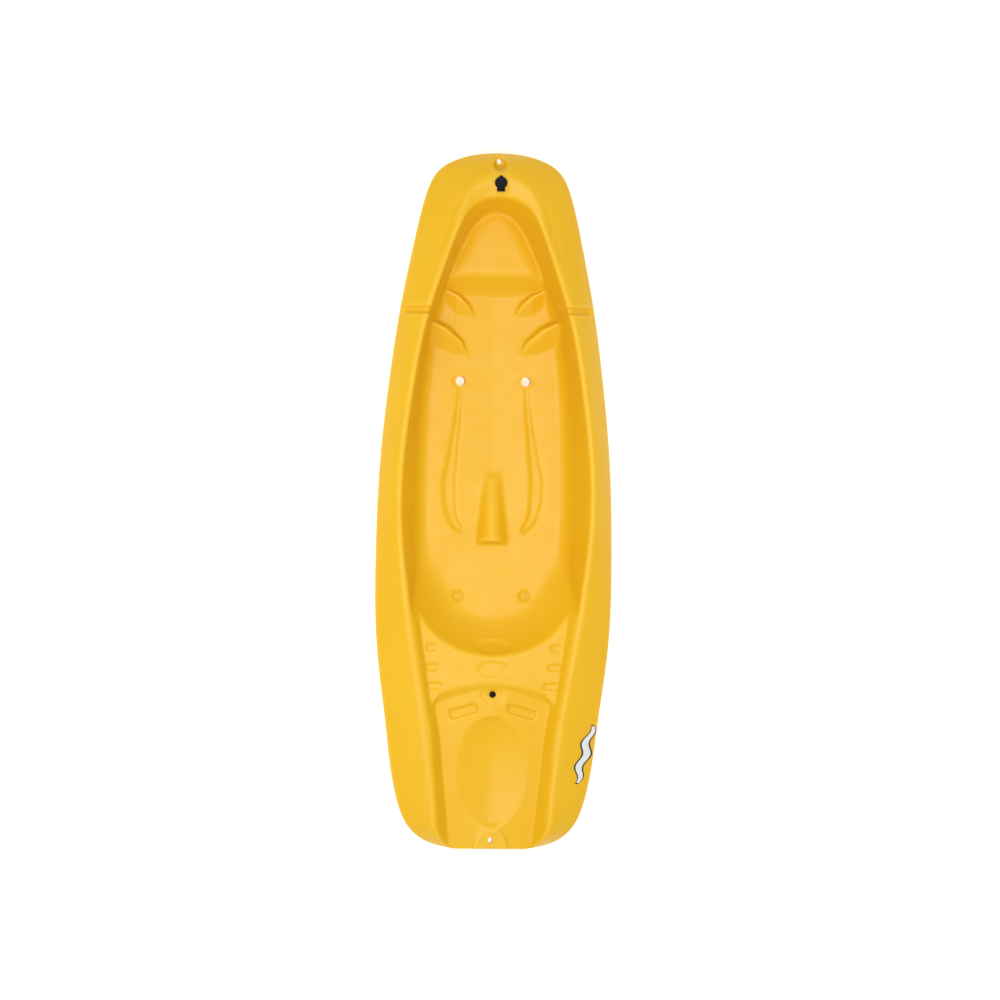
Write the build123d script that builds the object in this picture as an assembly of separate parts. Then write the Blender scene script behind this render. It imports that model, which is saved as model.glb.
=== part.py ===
from build123d import *
from math import hypot
import os

os.makedirs("parts", exist_ok=True)

# A child's sit-on-top kayak: two vacuum-formed sheets joined on a parting line, with a moulded
# cockpit, a well open at the tail, four through-holes and a handful of small fittings.
# +Y is the bow, +X is starboard, z = 0 is the ground the keels stand on.

# ---- driving dimensions, mm ----
SHEET = 3.5             # thickness of both formed sheets
PARTING_Z, PARTING_RISE = 128.0, 0.022    # the joint between the sheets climbs towards the bow
CREST_Z, CREST_RISE = 188.0, 0.030        # the top of the gunwales climbs a little more
EDGE_BAND = 10.0        # upright band above the joint
FLOOR_Z = 62.0          # cockpit floor
SHELF_Z = 105.0         # raised shelf in the bow of the cockpit
SEAT_TOP_Z = 150.0      # flat behind the seat back
WELL_Z, WELL_RISE = 167.7, 0.0565         # floor of the stern well

TUNNEL_X, TUNNEL_R, TUNNEL_H = 87.0, 125.0, 14.0
SCUPPER_Y, SCUPPER_R, SCUPPER_WALL = 317.0, 13.0, 4.0
SCUPPER_MOUTH_Z = 57.0
TOW_R = 7.0
BOW_TOW_Y, BOW_TOW_TOP, BOW_TOW_FOOT = 894.0, 168.0, 134.0
STERN_TOW_Y, STERN_TOW_TOP, STERN_TOW_FOOT = -892.0, 126.0, 95.0
TOW_COLUMN_R, TOW_POCKET_R = 17.0, 12.0

DRAIN_Y, DRAIN_SEAT_Z, DRAIN_SEAT_R = 835.0, 210.5, 26.0
GASKET = 1.0            # rubber ring under the drain bushing
FLANGE = 2.2            # flange of the bushing
CAP_GAP, CAP = 0.2, 2.6
HINGE_Y = 815.5
VENT_Y, VENT_SEAT_Z = -508.0, 138.4
REST_Y, REST_R = 501.0, 13.5

# ---- plan outlines: (half-width, y) from the tail corner to the bow tip ----
BOTTOM = [(112, -805), (166, -725), (196, -550), (212, -300), (213, -50), (200, 200),
          (165, 450), (118, 610), (58, 700), (0, 728)]
CHINE = [(120, -848), (186, -770), (222, -591), (243, -394), (250, -130), (241, 100),
         (215, 330), (176, 528), (132, 680), (70, 775), (0, 800)]
BILGE = [(100, -885), (190, -850), (235, -760), (264, -591), (283, -394), (289, -130),
         (280, 100), (256, 330), (221, 528), (184, 680), (130, 790), (0, 852)]
OUTLINE = [(90, -915), (172, -894), (213, -862), (247, -789), (279, -591), (304, -394),
           (311, -130), (303, 100), (280, 330), (251, 528), (225, 660), (195, 791),
           (158, 868), (105, 899), (0, 915)]
CREST = [(100, -889), (146, -875), (161, -815), (176, -683), (192, -554), (211, -446),
         (249, -193), (261, -20), (253, 154), (238, 272), (200, 480), (158, 615),
         (118, 723), (78, 822), (0, 862)]
COCKPIT_FLOOR = [(150, -215), (172, -150), (178, -40), (178, 100), (173, 272), (165, 391),
                 (150, 478), (112, 600), (62, 690), (0, 735)]
COCKPIT_COVE = [(175, -235), (200, -160), (212, -40), (211, 100), (203, 272), (190, 391),
                (172, 478), (128, 600), (78, 700), (0, 752)]
COCKPIT_RIM = [(205, -345), (234, -200), (248, -40), (240, 154), (225, 272), (187, 480),
               (145, 615), (105, 723), (66, 782), (0, 803)]
WELL_SEAT = [(118, -960), (122, -862), (137, -683), (150, -554), (160, -446), (168, -370),
             (100, -337), (0, -330)]
WELL_FLOOR = [(108, -960), (114, -862), (127, -700), (139, -560), (118, -509), (0, -482)]
WELL_TOP = [(142, -960), (140, -870), (160, -683), (179, -554), (198, -446), (205, -372),
            (110, -340), (0, -330)]


def grown(points, amount):
    """Shift every point outward, square to the line through its two neighbours."""
    ring = points + [(-x, y) for x, y in reversed(points[:-1])]
    moved = []
    for i, (x, y) in enumerate(points):
        ax, ay = ring[i - 1]
        bx, by = ring[i + 1]
        span = hypot(bx - ax, by - ay)
        moved.append((x + amount * (by - ay) / span, y - amount * (bx - ax) / span))
    return moved


def section(points, z, rise=0.0, grow=0.0, tail=None):
    """A plan outline, mirrored about the keel line, on a plane that climbs towards the bow."""
    right = grown(points, grow)
    ring = right + [(-x, y) for x, y in reversed(right[:-1])]
    pts = [(x, y, z + rise * y) for x, y in ring]
    if tail is None:
        back = Line(pts[-1], pts[0])
    else:
        mid = tail - grow
        back = ThreePointArc(pts[-1], (0, mid, z + rise * mid), pts[0])
    return make_face([Spline(*pts), back])


def disc(x, y, r, z0, z1):
    """Upright cylinder between two heights."""
    return Pos(x, y, (z0 + z1) / 2) * Cylinder(r, z1 - z0)


def both_sides(make):
    """The same piece to starboard and, mirrored, to port."""
    piece = make()
    return [piece, mirror(piece, Plane.YZ)]


# ---- the two outer bodies; t moves every face inward by about t ----
def hull_body(t):
    """Bottom of the boat up to the joint, with two shallow tunnels between three keels."""
    top = [section(OUTLINE, PARTING_Z, PARTING_RISE, -t)]
    if t > 0:
        top.append(section(OUTLINE, PARTING_Z + 15, PARTING_RISE, -t))
    body = loft([section(BOTTOM, t, 0, -t), section(CHINE, 24 + t, 0, -t),
                 section(BILGE, 78, 0, -t)] + top, ruled=True)
    for side in (-1, 1):
        axis = Pos(side * TUNNEL_X, 0, TUNNEL_H - TUNNEL_R) * Rot(90, 0, 0)
        body -= axis * Cylinder(TUNNEL_R + t, 2200)
    return body


def deck_body(t, skirt=0.0):
    """Top of the boat above the joint, without the cockpit; a skirt carries it downward."""
    low = [section(OUTLINE, PARTING_Z - skirt, PARTING_RISE, -t)]
    body = loft(low + [section(OUTLINE, PARTING_Z + EDGE_BAND - t, PARTING_RISE, -t),
                       section(CREST, CREST_Z - t, CREST_RISE, -t)], ruled=True)
    body -= disc(0, DRAIN_Y, DRAIN_SEAT_R + t, DRAIN_SEAT_Z - t, 300)
    for side in (-1, 1):
        rest = Pos(side * 205, REST_Y, 206) * Rot(0, side * 12, 0) * Rot(0, 90, 0)
        body -= rest * Cylinder(REST_R + t, 100)
    return body


# ---- raised features of the cockpit ----
def shelf(t):
    """The step across the bow of the cockpit."""
    side = [(567 + t, 30), (567 + t, FLOOR_Z - t), (601 + t, SHELF_Z - t), (900, SHELF_Z - t),
            (900, 30)]
    return extrude(Plane.YZ * make_face(Polyline(*side, close=True)), 260, both=True)


def foot_brace(wall, tip, aft, height, t):
    """A pointed ridge from the side wall: steep ahead of its crest, a ramp behind it."""
    wx, wy = wall
    tx, ty = tip
    base = FLOOR_Z - 25
    reach = 60
    slope = (wy - ty) / (wx - tx)
    rise = height / (wx - tx)
    far_x, far_y = wx + reach, wy + slope * reach
    far_z = FLOOR_Z - t + height + rise * reach
    near = (tx + 2 * t, ty, FLOOR_Z - t)
    crest = (far_x, far_y - t, far_z)
    foot = (far_x, far_y + 14 - t, FLOOR_Z - t)
    ramp = (far_x, aft - (ty - aft) / (wx - tx) * reach * 0.2 + t, FLOOR_Z - t)
    low = [(near[0], near[1], base), (foot[0], foot[1], base), (ramp[0], ramp[1], base)]
    top = make_face(Polyline(foot, crest, ramp, close=True))
    wedge = loft([top, Vertex(*near)])
    block = extrude(make_face(Polyline(*low, close=True)), FLOOR_Z - t - base)
    return wedge + block


def pommel(t):
    """Ridge between the rider's legs, rising and widening towards its steep stern end."""
    def slice_at(y, half_base, half_top, height):
        z0, z1 = 30, FLOOR_Z - 8
        pts = [(-half_base + t, y, z0), (-half_base + t, y, z1 - t),
               (-half_top + t * 0.6, y, FLOOR_Z + height - t),
               (half_top - t * 0.6, y, FLOOR_Z + height - t),
               (half_base - t, y, z1 - t), (half_base - t, y, z0)]
        return make_face(Polyline(*pts, close=True))
    run = loft([slice_at(59 - t, 24, 8, 4), slice_at(-96, 44, 9.5, 32)], ruled=True)
    end = loft([slice_at(-96, 44, 9.5, 32), slice_at(-111 + t, 44, 7, 2)], ruled=True)
    return run + end


# ---- pressed-in features; t makes each one bigger and deeper ----
def floor_valley(t):
    """The floor falls a little from both sides to the keel line."""
    z = FLOOR_Z - t
    tri = [(-150 - t, z + 1), (-150 - t, z), (0, z - 8), (150 + t, z), (150 + t, z + 1)]
    return extrude(Plane.XZ.offset(-600 - t) * make_face(Polyline(*tri, close=True)), 840 + 2 * t)


def drain_groove(t):
    """Channel that leads water from the seat forward to the scupper."""
    path = [(92, -91, 11), (109, -51, 11), (119, 1, 13), (121, 54, 13.5), (117, 133, 9),
            (107, 212, 6), (92, 291, 4.5)]
    outer = [(x + w + t, y) for x, y, w in path]
    inner = [(x - w - t, y) for x, y, w in path]
    sides = [Spline(*outer), Line(outer[-1], inner[-1]), Spline(*reversed(inner)),
             Line(inner[0], outer[0])]
    return extrude(Pos(0, 0, SCUPPER_MOUTH_Z - 1 - t) * make_face(sides), 8 + t)


def slot(x0, x1, y, half, z, t):
    """Round-ended shallow mark running in from a side wall."""
    bar = Pos((x0 + x1) / 2, y, z + 10) * Box(abs(x1 - x0), 2 * (half + t), 20 + 2 * t)
    return bar + disc(x0, y, half + t, z - t, z + 20 + t)


def dimples(t):
    """Six-sided recess at each rear corner of the seat, with a small cone left standing."""
    seat = extrude(Pos(89.5, -249, 66 - t) * RegularPolygon(15 + t, 6), 40)
    return seat - Pos(89.5, -249, 68 - t) * Cone(6, 2, 5)


def ellipse_mark(y, rx, ry, z, t, tilt=0.0):
    """Shallow oval pressed into the sheet."""
    return Pos(0, y, z - t) * Rot(tilt, 0, 0) * extrude(Ellipse(rx + t, ry + t), 14 + t)


def grip_recess(t):
    """Slanted finger recess each side of the stern well."""
    z = WELL_Z - 553 * WELL_RISE - 5 - t
    return Pos(76, -553, z) * Rot(0, 0, -16) * extrude(RectangleRounded(74 + 2 * t, 25 + 2 * t, 10), 20)


def oval_dish(t):
    """Long oval bowl in the floor of the stern well."""
    z = WELL_Z - 712 * WELL_RISE
    bowl = scale(Sphere(1), by=(88 + t, 146 + t, 13 + t))
    return Pos(0, -712, z) * bowl


def voids(t):
    """Everything open above the pan: cockpit, seat flat, stern well and their details."""
    crest = CREST_Z
    cockpit = loft([section(COCKPIT_FLOOR, FLOOR_Z - t, 0, t, -285),
                    section(COCKPIT_COVE, FLOOR_Z + 18 - t, 0, t, -305),
                    section(COCKPIT_RIM, crest, CREST_RISE, t, -440),
                    section(COCKPIT_RIM, crest + 40, CREST_RISE, t, -440)],
                   ruled=True)
    seat = loft([section(WELL_SEAT, SEAT_TOP_Z - t, 0, t),
                 section(WELL_TOP, crest, CREST_RISE, t),
                 section(WELL_TOP, crest + 40, CREST_RISE, t)], ruled=True)
    well = loft([section(WELL_FLOOR, WELL_Z - t, WELL_RISE, t),
                 section(WELL_FLOOR, WELL_Z + 40, WELL_RISE, t + 6)], ruled=True)
    space = cockpit + floor_valley(t)
    bumps = [shelf(t), pommel(t)]
    bumps += both_sides(lambda: foot_brace((141, 565), (50, 492), 478, 36, t))
    bumps += both_sides(lambda: foot_brace((170, 478), (66, 400), 391, 34, t))
    for bump in bumps:
        space -= bump
    space += seat
    space += well
    space -= disc(0, -905, 47 - t, 60, STERN_TOW_TOP - t)
    pressed = both_sides(lambda: drain_groove(t)) + both_sides(lambda: dimples(t))
    pressed += both_sides(lambda: disc(TUNNEL_X, SCUPPER_Y, SCUPPER_R + 7 + t,
                                       SCUPPER_MOUTH_Z - t, FLOOR_Z + 3))
    pressed += both_sides(lambda: grip_recess(t))
    for x, y in ((151, -383), (144, -436), (135, -488)):
        pressed += both_sides(lambda: slot(x, x + 32, y, 10.5, SEAT_TOP_Z - 3, t))
    pressed.append(ellipse_mark(-440, 47, 28, SEAT_TOP_Z - 3, t))
    pressed.append(oval_dish(t))
    pressed.append(disc(0, VENT_Y, 11 + t, VENT_SEAT_Z - t, 160))
    for mark in pressed:
        space += mark
    return space


# ---- the two formed sheets ----
def make_deck():
    """Upper sheet: gunwales, cockpit pan and stern well, with the posts its four holes run in."""
    both_bodies = deck_body(0) + hull_body(0)
    deck = deck_body(0) - deck_body(SHEET, 20) + (voids(SHEET) & deck_body(0, 120))
    for y in (BOW_TOW_Y, STERN_TOW_Y):
        deck += disc(0, y, TOW_COLUMN_R, 40, 300) & both_bodies
    for side in (-1, 1):
        deck += disc(side * TUNNEL_X, SCUPPER_Y, SCUPPER_R + SCUPPER_WALL, TUNNEL_H,
                     SCUPPER_MOUTH_Z)
    deck -= voids(0)
    deck -= disc(0, BOW_TOW_Y, TOW_POCKET_R, BOW_TOW_TOP, 300)
    deck -= disc(0, BOW_TOW_Y - 8, TOW_POCKET_R, BOW_TOW_TOP, 300)
    for y, foot in ((BOW_TOW_Y, BOW_TOW_FOOT), (STERN_TOW_Y, STERN_TOW_FOOT)):
        deck -= disc(0, y, TOW_POCKET_R, 0, foot)
        deck -= disc(0, y, TOW_R, 0, 300)
    for side in (-1, 1):
        deck -= disc(side * TUNNEL_X, SCUPPER_Y, SCUPPER_R, 0, 100)
    deck -= disc(0, DRAIN_Y, 10.7, 150, 300)
    deck -= disc(0, VENT_Y, 3.2, 100, 200)
    return deck


def make_hull():
    """Lower sheet: three keels, two tunnels, and the holes the deck's posts pass through."""
    hull = hull_body(0) - hull_body(SHEET)
    for y in (BOW_TOW_Y, STERN_TOW_Y):
        hull -= disc(0, y, TOW_COLUMN_R, -10, 300)
    for side in (-1, 1):
        hull -= disc(side * TUNNEL_X, SCUPPER_Y, SCUPPER_R + SCUPPER_WALL, -10, 100)
    return hull


# ---- flotation, glued in before the sheets are joined ----
def make_bow_foam():
    """Foam block hanging under the bow shelf."""
    block = Pos(0, 670, 76) * Box(120, 100, 50)
    return fillet(block.edges().filter_by(Axis.Z), 18)


def make_stern_foam():
    """Foam block standing on the tunnels under the stern well."""
    block = Pos(0, -690, 60) * Box(180, 150, 84)
    return fillet(block.edges().filter_by(Axis.Z), 25)


# ---- drain at the bow ----
FLANGE_Z = DRAIN_SEAT_Z + GASKET
CAP_Z = FLANGE_Z + FLANGE + CAP_GAP
PIN_Z = DRAIN_SEAT_Z + 5.5


def cross_pin(r, x0, x1):
    """Cylinder along the hinge line."""
    return Pos((x0 + x1) / 2, HINGE_Y, PIN_Z) * Rot(0, 90, 0) * Cylinder(r, x1 - x0)


def make_gasket():
    """Flat ring under the bushing's flange."""
    return disc(0, DRAIN_Y, 14.5, DRAIN_SEAT_Z, FLANGE_Z) - disc(0, DRAIN_Y, 10.8, 200, 220)


def make_bushing():
    """Flanged sleeve snapped through the deck, with two ears for the cap's hinge."""
    sleeve = disc(0, DRAIN_Y, 15, FLANGE_Z, FLANGE_Z + FLANGE)
    sleeve += disc(0, DRAIN_Y, 10.5, DRAIN_SEAT_Z - 15, FLANGE_Z)
    collar_z = DRAIN_SEAT_Z - SHEET - 0.2
    sleeve += Pos(0, DRAIN_Y, collar_z - 1.5) * Cone(10.5, 11.8, 3)
    sleeve += Pos(0, 820, FLANGE_Z + 0.8) * Box(19, 16, 1.6)
    for side in (-1, 1):
        x0, x1 = sorted((side * 5.1, side * 9.5))
        ear_z = (FLANGE_Z + PIN_Z) / 2
        sleeve += Pos((x0 + x1) / 2, HINGE_Y, ear_z) * Box(4.4, 5.2, PIN_Z - FLANGE_Z)
        sleeve += cross_pin(2.6, x0, x1)
    sleeve -= cross_pin(1.0, -12, 12)
    return sleeve - disc(0, DRAIN_Y, 7.5, 150, 300)


def make_cap():
    """Round lid with a short arm to the hinge and a lifting lip at its bow edge."""
    lid = disc(0, DRAIN_Y, 15, CAP_Z, CAP_Z + CAP)
    lid = fillet(lid.edges().group_by(Axis.Z)[-1], 1.0)
    lid += Pos(0, 819.5, CAP_Z + CAP / 2) * Box(9, 8, CAP)
    lid += cross_pin(2.6, -4.8, 4.8)
    lid += Pos(0, DRAIN_Y + 15.2, CAP_Z + 0.8) * Box(9, 3, 1.6)
    lid -= cross_pin(1.2, -12, 12)
    return lid - disc(0, DRAIN_Y, 3, CAP_Z, CAP_Z + 1.2)


def make_bung():
    """Tapered rubber stopper under the lid, located by a small spigot."""
    stop = Pos(0, DRAIN_Y, CAP_Z - 3.5) * Cone(5.5, 7.1, 7)
    return stop + disc(0, DRAIN_Y, 3, CAP_Z, CAP_Z + 1.2)


# ---- vent at the stern ----
def make_vent_seal():
    """Thin washer under the vent button."""
    return disc(0, VENT_Y, 7, VENT_SEAT_Z, VENT_SEAT_Z + 0.8) - disc(0, VENT_Y, 3.2, 100, 200)


def make_vent_plug():
    """Domed push-in button with a barbed stem."""
    base = VENT_SEAT_Z + 0.8
    dome = Pos(0, VENT_Y, base - 8) * Sphere(11.3)
    head = disc(0, VENT_Y, 8, base, base + 5) & dome
    stem = disc(0, VENT_Y, 3.0, base - 12, base)
    barb = Pos(0, VENT_Y, VENT_SEAT_Z - SHEET - 1.9) * Cone(2.4, 4.2, 3)
    return head + stem + barb


def make_decal():
    """Plain wave-shaped sticker lying on the slope of the starboard gunwale."""
    outer = [(226, -741), (236, -700), (240, -664), (262, -625), (268, -588)]
    inner = [(268, -588), (238, -622), (226, -664), (212, -700), (226, -741)]
    shape = make_face([Spline(*outer), Spline(*inner)])
    film = deck_body(-0.4) - deck_body(0, 20)
    return film & extrude(shape, 300)


PARTS = {
    "deck_shell": make_deck,
    "hull_shell": make_hull,
    "bow_foam_block": make_bow_foam,
    "stern_foam_block": make_stern_foam,
    "drain_gasket": make_gasket,
    "drain_bushing": make_bushing,
    "drain_hinge_pin": lambda: cross_pin(1.0, -9.5, 9.5),
    "drain_cap": make_cap,
    "drain_bung": make_bung,
    "vent_seal": make_vent_seal,
    "vent_plug": make_vent_plug,
    "side_decal": make_decal,
}

for name, make in PARTS.items():
    solid = make().solids()
    print(name, len(solid), "solid", round(solid[0].volume / 1000, 2), "cm3")
    export_step(solid[0] if len(solid) == 1 else Compound(solid), f"parts/{name}.step")
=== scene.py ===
# %% [markdown]
# # A child's sit-on-top kayak, built around its frame
#
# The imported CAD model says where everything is. Blender adds what the eye needs: soft moulded
# shapes, real plastic, small black fittings. Units are metres in Blender; the shaping helpers
# below think in millimetres, because that is how a boat mould is drawn.

# %% Load the frame
import math

import bmesh
import bpy
import numpy as np
from mathutils import Euler, Matrix, Vector


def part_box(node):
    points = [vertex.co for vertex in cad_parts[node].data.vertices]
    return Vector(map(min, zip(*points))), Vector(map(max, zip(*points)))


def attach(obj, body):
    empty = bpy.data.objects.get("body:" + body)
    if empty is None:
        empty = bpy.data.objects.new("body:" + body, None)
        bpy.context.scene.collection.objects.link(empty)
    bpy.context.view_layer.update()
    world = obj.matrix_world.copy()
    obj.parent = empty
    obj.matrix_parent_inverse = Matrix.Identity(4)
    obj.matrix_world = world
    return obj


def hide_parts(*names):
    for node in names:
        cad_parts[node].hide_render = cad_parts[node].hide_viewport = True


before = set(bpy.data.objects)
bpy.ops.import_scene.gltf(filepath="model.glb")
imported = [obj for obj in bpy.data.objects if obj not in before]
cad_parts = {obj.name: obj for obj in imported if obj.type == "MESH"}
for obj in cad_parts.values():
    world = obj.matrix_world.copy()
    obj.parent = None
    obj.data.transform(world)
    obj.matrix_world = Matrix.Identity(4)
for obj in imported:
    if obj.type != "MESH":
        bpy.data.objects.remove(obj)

for name in ("Cube", "Light", "Camera"):
    if name in bpy.data.objects:
        bpy.data.objects.remove(bpy.data.objects[name])
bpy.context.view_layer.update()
scene = bpy.context.scene
scene.view_settings.view_transform = "Standard"
MM = 0.001

# %% [markdown]
# ## Plan lines of the mould
#
# A boat is drawn as a few smooth lines seen from above: the outer edge, the crest of the
# gunwale, the rim of the cockpit, the foot of its wall. Each line is a handful of points
# (half-width, distance ahead of the middle) from the stern to the bow, joined by one natural
# cubic curve and mirrored. Drawing the lines once and shaping everything from them keeps all
# the parts in step, which sculpting by eye would not.

# %% Smooth lines through a few points
def natural_curve(points, per_span=12):
    """Natural cubic curve through the points, with its knots spaced by chord length."""
    p = np.array(points, float)
    t = np.concatenate(([0.0], np.cumsum(np.linalg.norm(np.diff(p, axis=0), axis=1))))
    h = np.diff(t)
    n = len(p)
    a = np.zeros((n, n))
    b = np.zeros((n, 2))
    a[0, 0] = a[-1, -1] = 1.0
    for i in range(1, n - 1):
        a[i, i - 1:i + 2] = h[i - 1], 2 * (h[i - 1] + h[i]), h[i]
        b[i] = 6 * ((p[i + 1] - p[i]) / h[i] - (p[i] - p[i - 1]) / h[i - 1])
    m = np.linalg.solve(a, b)
    rows = []
    for i in range(n - 1):
        s = np.linspace(0, h[i], per_span, endpoint=False)[:, None]
        r = h[i] - s
        rows.append((m[i] * r ** 3 + m[i + 1] * s ** 3) / (6 * h[i])
                    + (p[i] / h[i] - m[i] * h[i] / 6) * r
                    + (p[i + 1] / h[i] - m[i + 1] * h[i] / 6) * s)
    rows.append(p[-1:])
    return np.vstack(rows)


def plan_loop(half, tail=None, per_span=12):
    """Closed loop: the half line, its mirror, and a straight or bowed stern end."""
    ring = natural_curve(list(half) + [(-x, y) for x, y in reversed(half[:-1])], per_span)
    if tail is not None:
        x0, y0 = half[0]
        x = np.linspace(-x0, x0, 33)[1:-1]
        ring = np.vstack([ring, np.column_stack([x, tail + (y0 - tail) * (x / x0) ** 2])])
    return ring


HALF_LENGTH = 915
OUTLINE = [(90, -915), (172, -894), (213, -862), (247, -789), (279, -591), (304, -394),
           (311, -130), (303, 100), (280, 330), (251, 528), (225, 660), (195, 791),
           (158, 868), (105, 899), (0, 915)]
CREST = [(100, -889), (146, -875), (161, -815), (176, -683), (192, -554), (211, -446),
         (249, -193), (261, -20), (253, 154), (238, 272), (200, 480), (158, 615),
         (118, 723), (78, 822), (0, 862)]
RIM = [(200, -460), (210, -370), (222, -285), (234, -200), (248, -40), (240, 154),
       (225, 272), (187, 480), (145, 615), (105, 723), (66, 782), (0, 803)]
COVE = [(190, -420), (195, -300), (201, -200), (206, -120), (208, -40), (206, 100),
        (198, 272), (184, 391), (166, 478), (143, 545), (112, 619), (78, 695), (38, 744), (0, 758)]
FLOOR = [(155, -420), (158, -300), (161, -200), (166, -120), (170, -40), (170, 100),
         (165, 272), (155, 391), (141, 478), (120, 545), (90, 619), (58, 695), (24, 735), (0, 742)]
BOWL = [(430, 1400), (430, 700), (425, 300), (400, -20), (300, -150), (232, -242),
        (193, -303), (160, -348), (110, -382), (50, -403), (0, -408)]
SHELF_TOP = [(90, 602), (93, 610), (79, 638), (58, 684), (41, 717), (22, 742), (0, 750)]
SEAT_FLAT = [(104, -960), (110, -862), (124, -750), (140, -640), (156, -570), (177, -446),
             (188, -370), (198, -300), (203, -250), (196, -222), (160, -208), (0, -200)]
WELL = [(104, -960), (112, -880), (121, -788), (132, -683), (144, -584), (151, -546),
        (149, -532), (136, -525), (100, -512), (50, -497), (0, -488)]
BILGE = [(100, -885), (190, -850), (235, -760), (264, -591), (283, -394), (289, -130),
         (280, 100), (256, 330), (221, 528), (184, 680), (130, 790), (0, 852)]
CHINE = [(120, -848), (186, -770), (222, -591), (243, -394), (250, -130), (241, 100),
         (215, 330), (176, 528), (132, 680), (70, 775), (0, 800)]
KEEL_FLAT = [(112, -805), (166, -725), (196, -550), (212, -300), (213, -50), (200, 200),
             (165, 450), (118, 610), (58, 700), (0, 728)]
outline_loop = plan_loop(OUTLINE)
print("outline loop has", len(outline_loop), "points")

# %% [markdown]
# ## Distances and soft joins
#
# A vacuum-formed sheet has no sharp inner corners: every pocket meets its neighbour in a
# radius. A height for each spot of the sheet comes from how far the spot lies inside each
# line, and a soft minimum or maximum joins two heights with a fillet of a chosen size.

# %% Signed distance, soft minimum, soft step
def inside_by(x, y, loop):
    """How far each point lies inside a closed loop, negative outside, in mm."""
    a, b = loop, np.roll(loop, -1, axis=0)
    d = b - a
    length2 = np.maximum((d ** 2).sum(1), 1e-9)
    out = np.empty(len(x))
    for i in range(0, len(x), 4000):
        px, py = x[i:i + 4000, None], y[i:i + 4000, None]
        t = np.clip(((px - a[:, 0]) * d[:, 0] + (py - a[:, 1]) * d[:, 1]) / length2, 0, 1)
        gap = np.hypot(px - a[:, 0] - t * d[:, 0], py - a[:, 1] - t * d[:, 1]).min(1)
        cross = (a[:, 1] > py) != (b[:, 1] > py)
        rise = np.where(np.abs(d[:, 1]) < 1e-9, 1e-9, d[:, 1])
        at = a[:, 0] + (py - a[:, 1]) * d[:, 0] / rise
        odd = (cross & (px < at)).sum(1) % 2 == 1
        out[i:i + 4000] = np.where(odd, gap, -gap)
    return out


def soft_min(a, b, k):
    """The lower of two heights, with a fillet of about k where they meet."""
    h = np.clip(0.5 + 0.5 * (b - a) / k, 0, 1)
    return b * (1 - h) + a * h - k * h * (1 - h)


def soft_max(a, b, k):
    return -soft_min(-a, -b, k)


def soft_step(value, low, high):
    """0 below low, 1 above high, a smooth ramp between."""
    t = np.clip((value - low) / (high - low), 0, 1)
    return t * t * (3 - 2 * t)


# %% [markdown]
# ## The upper sheet as a height map
#
# From the outer edge the gunwale slopes up to a narrow crest, a small flat follows, then the
# cockpit wall drops to the floor. Behind the seat back a flat leads down a step into the stern
# well, which is open at the tail. Each function below is one feature of the mould, so it can be
# changed alone.

# %% Gunwale, cockpit and stern well
FLOOR_Z, COVE_Z, FLAT_Z = 62, 92, 150
OUTER_BULGE, INBOARD_FALL = 0.28, 0.20


def crest_height(y):
    return 188 + 0.030 * y


def edge_height(y):
    return 138 + 0.022 * y


def gunwale(x, y):
    """Outer slope up to the crest, then a narrow flat that falls slightly inboard."""
    out = inside_by(x, y, outline_loop)
    crest = inside_by(x, y, plan_loop(CREST))
    s = out / np.maximum(out - crest, 1e-6)
    top, edge = crest_height(y), edge_height(y)
    share = np.where(s < 1, s + OUTER_BULGE * s * (1 - s), 1 + (1 - OUTER_BULGE) * (s - 1))
    slope = edge + (top - edge) * share
    flat = top - INBOARD_FALL * np.clip(crest, 0, 45) + 1.5
    soft = 4 + 22 * soft_step(y, 800, 885) + 16 * soft_step(-y, 840, 900)
    crease = 3.6 * np.exp(-((-crest - 14) / 5.5) ** 2)
    crease *= soft_step(y, 570, 660) * (1 - soft_step(y, 760, 810))
    bead = 2.6 * np.exp(-((out - 20) / 7) ** 2) * soft_step(y, 350, 600)
    return soft_min(slope, flat, soft) - crease + bead


def cockpit(x, y):
    """Wall, cove and floor of the cockpit between three nested lines, and the seat's bowl."""
    rim = inside_by(x, y, plan_loop(RIM))
    cove = inside_by(x, y, plan_loop(COVE))
    floor = inside_by(x, y, plan_loop(FLOOR))
    top = crest_height(y) - 2
    wall = rim / np.maximum(rim - cove, 1e-6)
    bend = np.clip(cove / np.maximum(cove - floor, 1e-6), 0, 1)
    z = np.where(cove < 0, top + (COVE_Z - top) * wall,
                 FLOOR_Z + (COVE_Z - FLOOR_Z) * (1 - bend) ** 2.3)
    deep = inside_by(x, y, plan_loop(BOWL)) / 150
    seat = 50 + 100 * np.where(deep < 0, 1 - 2 * deep, np.clip(1 - deep, 0, 1) ** 2)
    z = np.where(y < -380, seat, soft_max(z, seat, 12))
    valley = 8 * np.clip(1 - np.abs(x) / 150, 0, 1) * soft_step(floor, 0, 50)
    return z - valley * soft_step(y, -260, -60)


def stern(x, y):
    """Flat behind the seat back, then a step down to the floor of the well."""
    seat = inside_by(x, y, plan_loop(SEAT_FLAT))
    well = inside_by(x, y, plan_loop(WELL))
    flat = FLAT_Z + 1.35 * np.maximum(-seat, 0)
    steep = np.maximum(soft_step(-y, 515, 555), soft_step(np.abs(x), 140, 152))
    bank = 0.65 + 0.80 * steep
    floor = 165.7 + 0.0565 * y + 8 * np.clip(1 - np.abs(x) / 130, 0, 1)
    deep = floor + bank * np.maximum(-well, 0)
    return soft_min(flat, deep, 4)


# %% [markdown]
# ## Raised features
#
# Two pointed foot braces stand out of each wall, a shelf closes the bow, and a ridge rises
# between the rider's knees. They are pressed out of the same sheet, so they only ever lift it.

# %% Shelf, foot braces and pommel
SHELF_Z, SHELF_FRONT = 105.0, 598


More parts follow.
